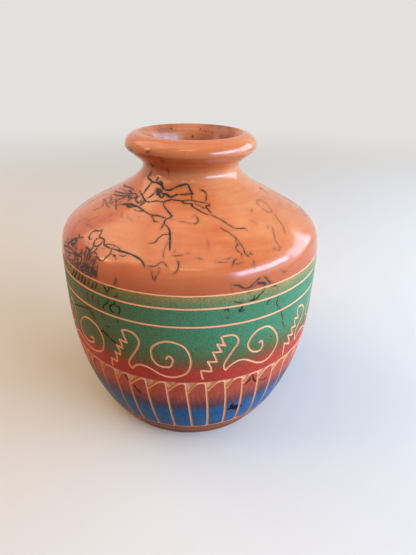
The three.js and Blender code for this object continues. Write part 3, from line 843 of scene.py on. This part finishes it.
def section(name, nodes, field, hollow, looks, cut=None, hair=(None, None), scrape=None):
    """Turns a closed clay section from its profile, then presses the carving into its skin.

    The profile runs up the skin and back down the hollow, which stays plain. The looks are
    those of the skin and of the hollow."""
    profile = np.concatenate([field.points, hollow])
    last = len(field.rows) - 1
    mesh = turn_section(name, profile, field.columns, last)

    count = len(mesh.vertices)
    place = np.empty(count * 3)
    mesh.vertices.foreach_get("co", place)
    x, y, _ = place.reshape(-1, 3).T
    rows = np.empty(count, int)
    mesh.attributes["row"].data.foreach_get("value", rows)
    turn = np.degrees(np.arctan2(y, x)) + 90
    column = np.rint((turn + 180) * field.columns / 360).astype(int) % field.columns
    on_skin = rows <= last
    skin_row = np.minimum(rows, last)

    data = {}
    for layer, grid, empty in (("cut", cut, FAR), ("hair", hair[0], FAR),
                               ("ink", hair[1], 0.0), ("scrape", scrape, 0.0)):
        data[layer] = np.full(count, empty)
        if grid is not None:
            data[layer] = np.where(on_skin, grid[skin_row, column], empty)
        mesh.attributes.new(layer, "FLOAT", "POINT").data.foreach_set(
            "value", data[layer].astype(np.float32))

    # The skin sinks in a smooth curve from a line's edge to the full depth.
    into_groove = np.clip((GROOVE_EDGE - data["cut"]) / GROOVE_SLOPE, 0, 1)
    depth = bpy.context.scene.vase_carving.cut_depth / MM
    pressed = depth * into_groove ** 2 * (3 - 2 * into_groove)
    normal = np.where(on_skin[:, None], field.normals[skin_row], 0)
    radius, height = (profile[rows] - normal * pressed[:, None]).T
    azimuth = np.radians(field.azimuth[column])
    pressed_in = np.stack([radius * np.sin(azimuth), -radius * np.cos(azimuth), height], 1) * MM
    mesh.vertices.foreach_set("co", pressed_in.ravel())
    mesh.attributes.remove(mesh.attributes["row"])
    mesh.update()

    piece = bpy.data.objects.new(name, mesh)
    bpy.context.scene.collection.objects.link(piece)
    for look in looks:
        mesh.materials.append(material(look))
    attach(piece, "root")
    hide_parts(*nodes)


def fill(node, inputs):
    """Gives a node's inputs, in order or by name, each a socket or a value."""
    named = isinstance(inputs, dict)
    sockets = [node.inputs[key] for key in inputs] if named else [
        socket for socket in node.inputs if socket.enabled]
    for socket, value in zip(sockets, inputs.values() if named else inputs):
        if isinstance(value, bpy.types.NodeSocket):
            node.id_data.links.new(value, socket)
        else:
            socket.default_value = (*value, 1) if socket.type == "RGBA" else value


def add(tree, kind, inputs=(), **settings):
    """Adds a shader node with its settings and links, and gives the first output it uses.

    Inputs in a tuple stand in the node's own order: a noise has its place, scale, detail and
    roughness, and a map range its value, the range that goes in and the range that comes out."""
    node = tree.nodes.new("ShaderNode" + kind)
    for key, value in settings.items():
        setattr(node, key, value)
    fill(node, inputs)
    return next((socket for socket in node.outputs if socket.enabled), None)


def per(mm):
    """Texture scale for a pattern whose features are this many mm apart."""
    return 1 / (mm * MM)


def material(look):
    """The material of a look, made the first time that it is asked for."""
    found = bpy.data.materials.get(look.__name__)
    if found is None:
        found = bpy.data.materials.new(look.__name__)
        found.use_nodes = True
        tree = found.node_tree
        place = add(tree, "TexCoord").node.outputs["Object"]
        look(tree, tree.nodes["Principled BSDF"], place)
    return found


def clay_tone(tree, place, dark, light):
    """Fired clay: cloudy where the slip was thin, with turning marks and fine grit."""
    cloud = add(tree, "TexNoise", (place, per(CLOUDS), 3, 0.55))
    level = add(tree, "Mapping", {"Vector": place, "Scale": (0.1, 0.1, 1)})
    marks = add(tree, "TexNoise", (level, per(TURNING_MARKS), 3, 0.6))
    both = add(tree, "Math", (marks, 0.5, cloud), operation="MULTIPLY_ADD")
    fac = add(tree, "MapRange", (both, 0.56, 0.96))
    tone = add(tree, "Mix", (fac, dark, light), data_type="RGBA")
    sand = add(tree, "TexNoise", (place, per(GRIT), 2))
    specks = add(tree, "MapRange", (sand, 0.64, 0.74, 0, 0.35))
    grit = bpy.context.scene.vase_colours.grit
    return add(tree, "Mix", (specks, tone, grit), data_type="RGBA"), marks


def finish_skin(tree, shader, place, paint, relief, gloss):
    """Carves through the paint to bare clay, then burns the horsehair over it."""
    colours = bpy.context.scene.vase_colours
    cut, hair, ink, scrape = (
        add(tree, "Attribute", attribute_name=layer).node.outputs["Fac"]
        for layer in ("cut", "hair", "ink", "scrape"))
    fray = add(tree, "TexNoise", (place, per(FRAYED_EDGE), 2))
    ragged = add(tree, "Math", (fray, 0.5, -0.25), operation="MULTIPLY_ADD")

    # Where the tool went through the slip: smooth at a line's edge, furrowed in a deep scrape.
    rough_cut = add(tree, "Math", (ragged, 0.35, cut), operation="MULTIPLY_ADD")
    bared = add(tree, "MapRange", (rough_cut, 0.12, -0.1))
    begun = add(tree, "MapRange", (scrape, 0.25, 0.9))
    not_past = add(tree, "MapRange", (scrape, 2.9, 1.5))
    streak = add(tree, "Math", (begun, not_past), operation="MULTIPLY")
    drag = add(tree, "Mapping", {"Vector": place, "Scale": (1, 1, 0.35)})
    furrow = add(tree, "TexNoise", (drag, per(FURROWS), 3))
    ridges = add(tree, "MapRange", (furrow, 0.48, 0.62))
    deep = add(tree, "MapRange", (scrape, 1, 2.2, 0, 0.5))
    left = add(tree, "Math", (ridges, deep), operation="MULTIPLY")
    bare = add(tree, "Mix", (streak, colours.scratch, colours.scratch_deep), data_type="RGBA")
    bare = add(tree, "Mix", (left, bare, colours.grit), data_type="RGBA")
    carved = add(tree, "Mix", (bared, paint, bare), data_type="RGBA")

    # Soot takes to the slip, and only a little to clay that is bared later.
    held = add(tree, "Math", (bared, -0.85, 1), operation="MULTIPLY_ADD")
    soot = add(tree, "Math", (ink, held), operation="MULTIPLY")
    strand = add(tree, "Math", (ragged, hair), operation="ADD")
    halo = add(tree, "MapRange", (strand, 1.3, 0, 0, 0.36))
    haze = add(tree, "Math", (halo, soot), operation="MULTIPLY")
    smoked = add(tree, "Mix", (haze, carved, colours.smoke), data_type="RGBA")
    core = add(tree, "MapRange", (strand, 0.16, -0.18))
    black = add(tree, "Math", (core, soot), operation="MULTIPLY")
    burnt = add(tree, "Mix", (black, smoked, colours.carbon), data_type="RGBA")
    dull = add(tree, "Math", (bared, 0.3, gloss), operation="MULTIPLY_ADD")
    sooty = add(tree, "Math", (black, 0.5, dull), operation="MULTIPLY_ADD")
    bump = add(tree, "Bump", {"Height": relief, "Strength": 0.5, "Distance": 0.1 * MM})
    fill(shader, {"Base Color": burnt, "Roughness": sooty, "Normal": bump})


def burnished_terracotta(tree, shader, place):
    """Terracotta rubbed with a stone before firing: a clear shine over a cloudy orange."""
    c = bpy.context.scene.vase_colours
    tone, marks = clay_tone(tree, place, c.clay, c.clay_pale)
    gloss = add(tree, "MapRange", (marks, 0.3, 0.7, 0.12, 0.2))
    height = add(tree, "SeparateXYZ", (place,)).node.outputs["Z"]
    low = add(tree, "MapRange", (height, 152 * MM, 136 * MM, 0, 0.7))
    fired = add(tree, "Mix", (low, tone, c.clay_deep), data_type="RGBA")
    finish_skin(tree, shader, place, fired, marks, gloss)


def sprayed_slip_on_terracotta(tree, shader, place):
    """Airbrushed slip on terracotta: satin, with each colour fading as mist into the next."""
    c = bpy.context.scene.vase_colours
    carving = bpy.context.scene.vase_carving
    low, high = carving.flute_foot, carving.upper_ring
    side, _, height = add(tree, "SeparateXYZ", (place,)).node.outputs

    # Each colour's height wanders with the hand and breaks up into droplets.
    wander, spread = 5 * MM, 5 * MM
    drift = add(tree, "TexNoise", (place, per(DRIFT), 2))
    mist = add(tree, "TexNoise", (place, per(MIST), 2))
    moved = add(tree, "Math", (drift, wander, height), operation="MULTIPLY_ADD")
    sprayed = add(tree, "Math", (mist, spread, moved), operation="MULTIPLY_ADD")
    middle = (wander + spread) / 2
    level = add(tree, "MapRange", (sprayed, low + middle, high + middle))
    ramp = add(tree, "ValToRGB", (level,))
    # The slips as they were sprayed, by height in metres.
    stops = [(0.041, c.blue), (0.0475, c.purple), (0.0585, c.rust), (0.068, c.rust),
             (0.073, c.red), (0.0795, c.red), (0.085, c.brown), (0.091, c.moss),
             (0.101, c.green), (carving.middle_ring, c.green), (0.1285, c.olive),
             (carving.upper_ring, c.tan)]
    marks = ramp.node.color_ramp.elements
    marks.remove(marks[0])
    for i, (where, tint) in enumerate(stops):
        position = (where - low) / (high - low)
        stop = marks[0] if i == 0 else marks.new(position)
        stop.position = position
        stop.color = (*tint, 1)

    # Droplets show above the flutes, and upright brush marks in them.
    droplets = add(tree, "MapRange", (mist, 0.3, 0.7, 0.22, 0.78))
    above = add(tree, "MapRange", (height, 60 * MM, 80 * MM, 0.2, 0.5))
    grainy = add(tree, "Mix", (above, ramp, droplets), data_type="RGBA", blend_type="OVERLAY")
    upright = add(tree, "Mapping", {"Vector": place, "Scale": (1, 1, 0.05)})
    hairs = add(tree, "TexNoise", (upright, per(BRUSH_MARKS), 2))
    below = add(tree, "MapRange", (height, 70 * MM, 52 * MM, 0, 0.7))
    brushed = add(tree, "Mix", (below, grainy, hairs), data_type="RGBA", blend_type="OVERLAY")

    # Smoke stains the green in patches, and the left side of the upper green is darkened toward
    # the same brown as painted shade.
    worn = add(tree, "TexNoise", (place, per(WEAR), 5, 0.7))
    thin = add(tree, "MapRange", (worn, 0.35, 0.8, 0, 0.25))
    painted_shade_side = add(tree, "MapRange", (side, 10 * MM, -75 * MM, 0, 0.5))
    upper = add(tree, "MapRange", (height, 84 * MM, 96 * MM))
    smoke_stain_and_shade = add(tree, "Math", (painted_shade_side, upper, thin), operation="MULTIPLY_ADD")
    aged = add(tree, "Mix", (smoke_stain_and_shade, brushed, c.smoke_stain_and_shade), data_type="RGBA")

    below_slip = add(tree, "Math", (height, low), operation="LESS_THAN")
    tone, _ = clay_tone(tree, place, c.clay_raw, c.clay)
    paint = add(tree, "Mix", (below_slip, aged, tone), data_type="RGBA")
    gloss = add(tree, "MapRange", (worn, 0.3, 0.7, 0.32, 0.44))
    finish_skin(tree, shader, place, paint, mist, gloss)
    fill(shader, {"Specular IOR Level": 0.09})      # slip is porous, and shines little


def bare_terracotta(tree, shader, place):
    """Unburnished terracotta: matt and sandy, as left by the turning tool."""
    c = bpy.context.scene.vase_colours
    tone, marks = clay_tone(tree, place, c.clay_raw, c.clay)
    bump = add(tree, "Bump", {"Height": marks, "Strength": 0.6, "Distance": 0.3 * MM})
    fill(shader, {"Base Color": tone, "Roughness": 0.7, "Specular IOR Level": 0.3,
                  "Normal": bump})


def sooted_terracotta(tree, shader, place):
    """Smooth clay inside the neck, specked with soot from the burning hair."""
    c = bpy.context.scene.vase_colours
    tone, marks = clay_tone(tree, place, c.clay_raw, c.clay_pale)
    soot = add(tree, "TexNoise", (place, per(SOOT_SPECKS), 1))
    specks = add(tree, "MapRange", (soot, 0.7, 0.74))
    sooted = add(tree, "Mix", (specks, tone, c.carbon), data_type="RGBA")
    bump = add(tree, "Bump", {"Height": marks, "Strength": 0.5, "Distance": 0.15 * MM})
    fill(shader, {"Base Color": sooted, "Roughness": 0.3, "Normal": bump})


def rows_between(skin, low, high, gap):
    """Rows this far apart along the skin, from one height to another."""
    start, end = skin.run_at(low), skin.run_at(high)
    return np.linspace(start, end, max(3, int(round((end - start) / gap)) + 1))


def set_up(context):
    """The skin, and the sizes of the outline and the carving."""
    outline = context.scene.vase_outline
    return Skin(outline), outline, context.scene.vase_carving


class VASE_OT_foot(bpy.types.Operator):
    """Foot of bare clay with a recessed base"""
    bl_idname = "vase.foot"
    bl_label = "Foot"

    def execute(self, context):
        skin, outline, _ = set_up(context)
        top = outline.floor_top / MM
        recess = outline.ring_height / MM
        edge = (outline.base_radius - outline.foot_corner - outline.ring_width) / MM
        soft = 0.8              # mm, the rounding inside the recess
        under = [(0, top), (0, recess), (edge - soft, recess), (edge - soft * 0.3, recess * 0.9),
                 (edge, recess - soft), (edge, soft), (edge + soft * 0.3, soft * 0.3),
                 (edge + soft, 0)]
        field = Field(skin, rows_between(skin, 0, top, 0.6), 360)
        section("foot", ["foot_ring", "floor_slab"], field,
                np.array(under, float), (bare_terracotta, bare_terracotta))
        return {"FINISHED"}


class VASE_OT_flute_band(bpy.types.Operator):
    """Lower wall, its flutes and wedges cut through blue and red slip"""
    bl_idname = "vase.flute_band"
    bl_label = "Flute band"

    def execute(self, context):
        skin, outline, carving = set_up(context)
        floor = outline.floor_top / MM
        foot, top = carving.flute_foot / MM, carving.flute_top / MM
        near_ring, wedges = 1.4, 10         # mm of height, with rows close together
        stages = [(floor, 1.1), (foot - near_ring, 0.4), (foot + near_ring, 1.65),
                  (top - wedges, 0.55), (top, 0)]
        runs = [rows_between(skin, low, high, gap)
                for (low, gap), (high, _) in zip(stages, stages[1:])]
        field = Field(skin, np.concatenate([runs[0]] + [run[1:] for run in runs[1:]]), 1440)
        ring = np.minimum(field.rings([foot], carving.fine_line / MM / 2),
                          field.rings([top], carving.ring_line / MM / 2))
        edge, scrape = flute_edges(field, carving)
        hollow = skin.hollow_at([top, 45, 24, 19, 14, 11.6, 10.4, floor])
        section("flute_band", ["fluted_wall"], field, hollow,
                (sprayed_slip_on_terracotta, bare_terracotta), merge(edge, ring, 1.6),
                field.stamp(horsehair(skin, carving)), scrape)
        return {"FINISHED"}


class VASE_OT_scroll_band(bpy.types.Operator):
    """Middle wall with its scrolls cut through red and green slip, in two rings"""
    bl_idname = "vase.scroll_band"
    bl_label = "Scroll band"

    def execute(self, context):
        skin, _, carving = set_up(context)
        low, high = carving.flute_top / MM, carving.lower_ring / MM
        split = (low + high) / 2
        dots = scroll_strokes(skin, carving)
        hairs = horsehair(skin, carving)
        for name, start, end in (("scroll_band_lower", low, split),
                                 ("scroll_band_upper", split, high)):
            field = Field(skin, rows_between(skin, start, end, 0.4), 1440)
            ring = field.rings([low, high], carving.ring_line / MM / 2)
            section(name, ["frieze_wall"], field,
                    skin.hollow_at([end, (start + end) / 2, start]),
                    (sprayed_slip_on_terracotta, bare_terracotta),
                    merge(field.stamp(dots)[0], ring, 0.4), field.stamp(hairs))
        return {"FINISHED"}


class VASE_OT_ring_bands(bpy.types.Operator):
    """Green and olive bands between the three scratched rings"""
    bl_idname = "vase.ring_bands"
    bl_label = "Ring bands"

    def execute(self, context):
        skin, _, carving = set_up(context)
        heights = [carving.lower_ring / MM, carving.middle_ring / MM, carving.upper_ring / MM]
        field = Field(skin, rows_between(skin, heights[0], heights[2], 0.36), 1440)
        cut = np.minimum(field.rings(heights[:2], carving.ring_line / MM / 2),
                         field.rings(heights[2:], carving.fine_line / MM / 2))
        section("ring_bands", ["frieze_wall"], field,
                skin.hollow_at(heights[::-1]), (sprayed_slip_on_terracotta, bare_terracotta), cut,
                field.stamp(horsehair(skin, carving)))
        return {"FINISHED"}


class VASE_OT_shoulder(bpy.types.Operator):
    """Burnished shoulder with its burnt horsehair, in two rings"""
    bl_idname = "vase.shoulder"
    bl_label = "Shoulder"

    def execute(self, context):
        skin, _, carving = set_up(context)
        low, high = carving.upper_ring / MM, carving.collar_foot / MM
        split = 153.0           # mm, above the turn to the shoulder
        hairs = horsehair(skin, carving)
        for name, start, end, gap, columns in (("shoulder_lower", low, split, 0.5, 1440),
                                               ("shoulder_upper", split, high, 0.57, 1080)):
            field = Field(skin, rows_between(skin, start, end, gap), columns)
            section(name, ["shoulder_wall"], field,
                    skin.hollow_at(np.linspace(end, start, 8)),
                    (burnished_terracotta, bare_terracotta),
                    field.rings([low], carving.fine_line / MM / 2), field.stamp(hairs))
        return {"FINISHED"}


class VASE_OT_neck_and_lip(bpy.types.Operator):
    """Neck collar and rolled lip, open at the mouth"""
    bl_idname = "vase.neck_and_lip"
    bl_label = "Neck and lip"

    def execute(self, context):
        skin, _, carving = set_up(context)
        low = carving.collar_foot / MM
        field = Field(skin, rows_between(skin, low, skin.top, 0.5), 720)
        down = np.linspace(0, 1, 34)[1:] ** 1.6         # closest together at the crest
        section("neck_and_lip", ["neck_collar", "rolled_rim"], field,
                skin.hollow_at(skin.top - (skin.top - low) * down),
                (burnished_terracotta, sooted_terracotta),
                hair=field.stamp(horsehair(skin, carving)))
        return {"FINISHED"}


def seen_rays(tree):
    """One for rays that show a surface to the camera, straight or in a reflection."""
    path = add(tree, "LightPath").node.outputs
    mirrored = add(tree, "Math", (path["Is Glossy Ray"], path["Is Transmission Ray"]),
                   operation="MAXIMUM")
    return add(tree, "Math", (path["Is Camera Ray"], mirrored), operation="MAXIMUM")


def matt_painted_board(tree, shader, place):
    """Painted board, pale to the eye, that fades into the backdrop far from the vase."""
    studio = bpy.context.scene.vase_studio
    seen = seen_rays(tree)
    tone = add(tree, "Mix", (seen, studio.bounce, studio.floor), data_type="RGBA")
    fill(shader, {"Base Color": tone, "Roughness": 0.9, "Specular IOR Level": 0.1})
    away = add(tree, "VectorMath", (place,), operation="LENGTH")
    fade = add(tree, "MapRange", (away, 0.15, 1.5), interpolation_type="SMOOTHSTEP")
    far = add(tree, "Math", (fade, seen), operation="MULTIPLY")
    haze = add(tree, "Emission", (studio.backdrop,))
    both = add(tree, "MixShader", (far, shader.outputs[0], haze))
    fill(tree.nodes["Material Output"], {"Surface": both})


def lamp(name, azimuth, elevation, reach, size, radiance, tint, mirrored=True):
    """A soft panel that faces the vase; azimuth 0 is the camera's side."""
    light = bpy.data.lights.new(name, "AREA")
    light.shape = "RECTANGLE"
    light.size, light.size_y = size
    light.energy = radiance * math.pi * size[0] * size[1]
    light.color = linear(tint)
    panel = bpy.data.objects.new(name, light)
    bpy.context.scene.collection.objects.link(panel)
    turn, lift = math.radians(azimuth), math.radians(elevation)
    way = Vector((math.sin(turn) * math.cos(lift), -math.cos(turn) * math.cos(lift),
                  math.sin(lift)))
    panel.location = Vector(LAMPS_FACE) + way * reach
    panel.rotation_euler = way.to_track_quat("Z", "Y").to_euler()
    panel.visible_glossy = mirrored


class VASE_OT_studio(bpy.types.Operator):
    """Pale floor, soft lights and the camera"""
    bl_idname = "vase.studio"
    bl_label = "Studio"

    def execute(self, context):
        studio = context.scene.vase_studio
        bm = bmesh.new()
        bmesh.ops.create_circle(bm, cap_ends=True, segments=96, radius=4.0)
        mesh = bpy.data.meshes.new("floor")
        bm.to_mesh(mesh)
        bm.free()
        floor = bpy.data.objects.new("floor", mesh)
        context.scene.collection.objects.link(floor)
        mesh.materials.append(material(matt_painted_board))

        world = bpy.data.worlds.new("studio")
        context.scene.world = world
        world.use_nodes = True
        tree = world.node_tree
        tree.nodes.clear()
        room = add(tree, "Background", (studio.tint, studio.room))
        backdrop = add(tree, "Background", (studio.backdrop,))
        both = add(tree, "MixShader", (seen_rays(tree), room, backdrop))
        add(tree, "OutputWorld", (both,))

        cool, warm, soft = studio.cool, studio.warm, studio.ceiling
        lamp("daylight", 56, 24, 1.6, (1.3, 0.9), studio.daylight, "#D6E7FF", mirrored=False)
        lamp("cool_wide", 69, 17, 1.3, (1.9, 0.85), cool * 0.42, "#BCDCFF")
        lamp("cool_near", 63, 20, 1.2, (1.1, 0.29), cool * 2.3, "#BCDCFF")
        lamp("cool_far", 110, 17, 1.2, (0.7, 0.5), cool * 0.9, "#BCDCFF")
        lamp("warm_left", -80, 26, 1.2, (0.16, 0.2), warm * 3, "#FFC48A")
        lamp("warm_front", -8, 52, 1.3, (0.46, 0.08), warm * 2.5, "#FFC993")
        lamp("soft_left", -100, 46, 1.4, (1.3, 0.9), soft * 2.5, "#FFE0B8")
        lamp("ceiling", -30, 78, 1.5, (1.6, 1.2), soft, "#FFE9D2")

        camera = bpy.data.objects.new("camera", bpy.data.cameras.new("camera"))
        context.scene.collection.objects.link(camera)
        camera.data.lens = CAMERA_LENS
        camera.data.sensor_width = CAMERA_SENSOR
        camera.data.clip_start = 0.01
        turn = Matrix.Identity(4)
        for degrees, axis in CAMERA_TURNS:
            turn = turn @ Matrix.Rotation(math.radians(degrees), 4, axis)
        camera.matrix_world = Matrix.Translation(CAMERA_PLACE) @ turn
        context.scene.camera = camera
        context.scene.view_settings.view_transform = "Standard"
        return {"FINISHED"}


class VASE_PT_panel(bpy.types.Panel):
    """Sizes, colours and pieces of the vase"""
    bl_label = "Horsehair vase"
    bl_idname = "VASE_PT_panel"
    bl_space_type = "VIEW_3D"
    bl_region_type = "UI"
    bl_category = "Vase"

    def draw(self, context):
        for group in GROUPS:
            box = self.layout.box()
            settings = getattr(context.scene, group)
            for name in settings.__annotations__:
                box.prop(settings, name)
        for operator in OPERATORS:
            self.layout.operator(operator.bl_idname)


GROUPS = {"vase_outline": VaseOutline, "vase_carving": VaseCarving,
          "vase_colours": VaseColours, "vase_studio": VaseStudio}
OPERATORS = [VASE_OT_studio, VASE_OT_foot, VASE_OT_flute_band, VASE_OT_scroll_band,
             VASE_OT_ring_bands, VASE_OT_shoulder, VASE_OT_neck_and_lip]


def register():
    for item in [*GROUPS.values(), *OPERATORS, VASE_PT_panel]:
        bpy.utils.register_class(item)
    for name, group in GROUPS.items():
        setattr(bpy.types.Scene, name, PointerProperty(type=group))


def unregister():
    for name in GROUPS:
        delattr(bpy.types.Scene, name)
    for item in reversed([*GROUPS.values(), *OPERATORS, VASE_PT_panel]):
        bpy.utils.unregister_class(item)


def main():
    register()
    bpy.ops.vase.studio()
    bpy.ops.vase.foot()
    bpy.ops.vase.flute_band()
    bpy.ops.vase.scroll_band()
    bpy.ops.vase.ring_bands()
    bpy.ops.vase.shoulder()
    bpy.ops.vase.neck_and_lip()


if __name__ == "__main__":
    main()
